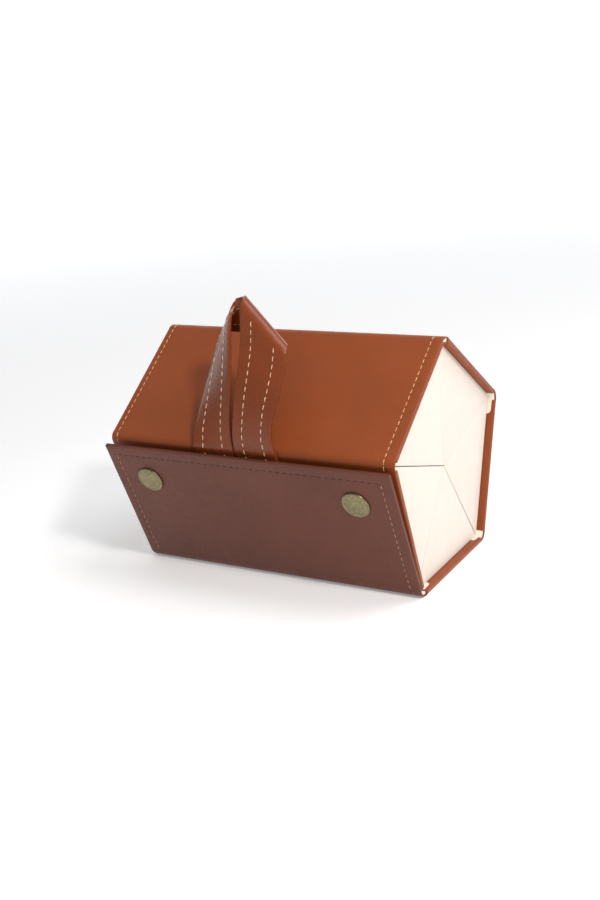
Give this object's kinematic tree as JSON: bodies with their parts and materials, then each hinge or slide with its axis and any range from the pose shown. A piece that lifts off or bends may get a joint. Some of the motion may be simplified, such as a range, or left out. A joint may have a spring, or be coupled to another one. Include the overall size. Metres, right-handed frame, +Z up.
{
  "type": "roll-up eyeglasses case",
  "caption": "Leatherette roll-up case for folded glasses: five-sided roll with lined compartments, snap flap and folded strap handle.",
  "frame": {"origin": "middle of the bottom panel's outer face, which the closed case stands on", "axes": "+X along the roll to its right end, -Y to the front with the flap, +Z up"},
  "size_m": [0.184, 0.1495, 0.1688],
  "materials": {
    "leather": "fine-grained tan leatherette, soft sheen",
    "strap_leather": "smooth tan leatherette, slight gloss",
    "lining": "brushed cream microfibre",
    "wall_cloth": "brushed cream microfibre over card",
    "board": "grey-brown pressed board",
    "snap_brass": "antique brass, mottled"
  },
  "bodies": {
    "bottom": {"bottom_board": "board", "bottom_cover": "leather", "bottom_crease": "leather", "bottom_crease_lining": "lining", "bottom_divider": "wall_cloth", "bottom_end_wall_left": "wall_cloth", "bottom_end_wall_right": "wall_cloth", "bottom_lining": "lining", "flap_crease": "leather"},
    "back": {"back_board": "board", "back_cover": "leather", "back_crease": "leather", "back_crease_lining": "lining", "back_divider": "wall_cloth", "back_end_wall_left": "wall_cloth", "back_end_wall_right": "wall_cloth", "back_lining": "lining"},
    "rear_roof": {"rear_roof_board": "board", "rear_roof_cover": "leather", "rear_roof_crease": "leather", "rear_roof_crease_lining": "lining", "rear_roof_divider": "wall_cloth", "rear_roof_end_wall_left": "wall_cloth", "rear_roof_end_wall_right": "wall_cloth", "rear_roof_lining": "lining"},
    "front_roof": {"front_roof_board": "board", "front_roof_cover": "leather", "front_roof_crease": "leather", "front_roof_crease_lining": "lining", "front_roof_divider": "wall_cloth", "front_roof_end_wall_left": "wall_cloth", "front_roof_end_wall_right": "wall_cloth", "front_roof_lining": "lining"},
    "lower_front": {"handle_tab_left": "strap_leather", "handle_tab_right": "strap_leather", "lower_front_board": "board", "lower_front_cover": "leather", "lower_front_divider": "wall_cloth", "lower_front_end_wall_left": "wall_cloth", "lower_front_end_wall_right": "wall_cloth", "lower_front_lining": "lining", "snap_back_left": "snap_brass", "snap_back_right": "snap_brass", "snap_stud_left": "snap_brass", "snap_stud_right": "snap_brass"},
    "flap": {"flap_backing": "leather", "flap_board": "board", "flap_cover": "leather", "snap_cap_left": "snap_brass", "snap_cap_right": "snap_brass", "snap_socket_left": "snap_brass", "snap_socket_right": "snap_brass"},
    "handle": {"handle_loop": "strap_leather"}
  },
  "joints": [
    {"name": "back_hinge", "type": "hinge", "parent": "bottom", "child": "back", "pos_m": [0, 0.04371, 0.00178], "axis": [-1, 0, 0], "range_deg": [0, 72], "deforming": ["bottom_crease", "bottom_crease_lining"]},
    {"name": "rear_roof_hinge", "type": "hinge", "parent": "back", "child": "rear_roof", "pos_m": [0, 0.07072, 0.08492], "axis": [-1, 0, 0], "range_deg": [0, 72], "deforming": ["back_crease", "back_crease_lining"]},
    {"name": "front_roof_hinge", "type": "hinge", "parent": "rear_roof", "child": "front_roof", "pos_m": [0, 0, 0.1363], "axis": [-1, 0, 0], "range_deg": [0, 72], "deforming": ["rear_roof_crease", "rear_roof_crease_lining"]},
    {"name": "lower_front_hinge", "type": "hinge", "parent": "front_roof", "child": "lower_front", "pos_m": [0, -0.07072, 0.08492], "axis": [-1, 0, 0], "range_deg": [0, 72], "deforming": ["front_roof_crease", "front_roof_crease_lining", "handle_tab_left", "handle_tab_right"]},
    {"name": "flap_hinge", "type": "hinge", "parent": "bottom", "child": "flap", "pos_m": [0, -0.04459, 0.00181], "axis": [1, 0, 0], "range_deg": [0, 68.8], "deforming": ["flap_crease", "flap_cover", "flap_board", "flap_backing", "snap_cap_left", "snap_cap_right", "snap_socket_left", "snap_socket_right"]},
    {"name": "handle_swing", "type": "hinge", "parent": "front_roof", "child": "handle", "pos_m": [0, -0.07283, 0.08664], "axis": [1, 0, 0], "range_deg": [-18, 100]}
  ]
}
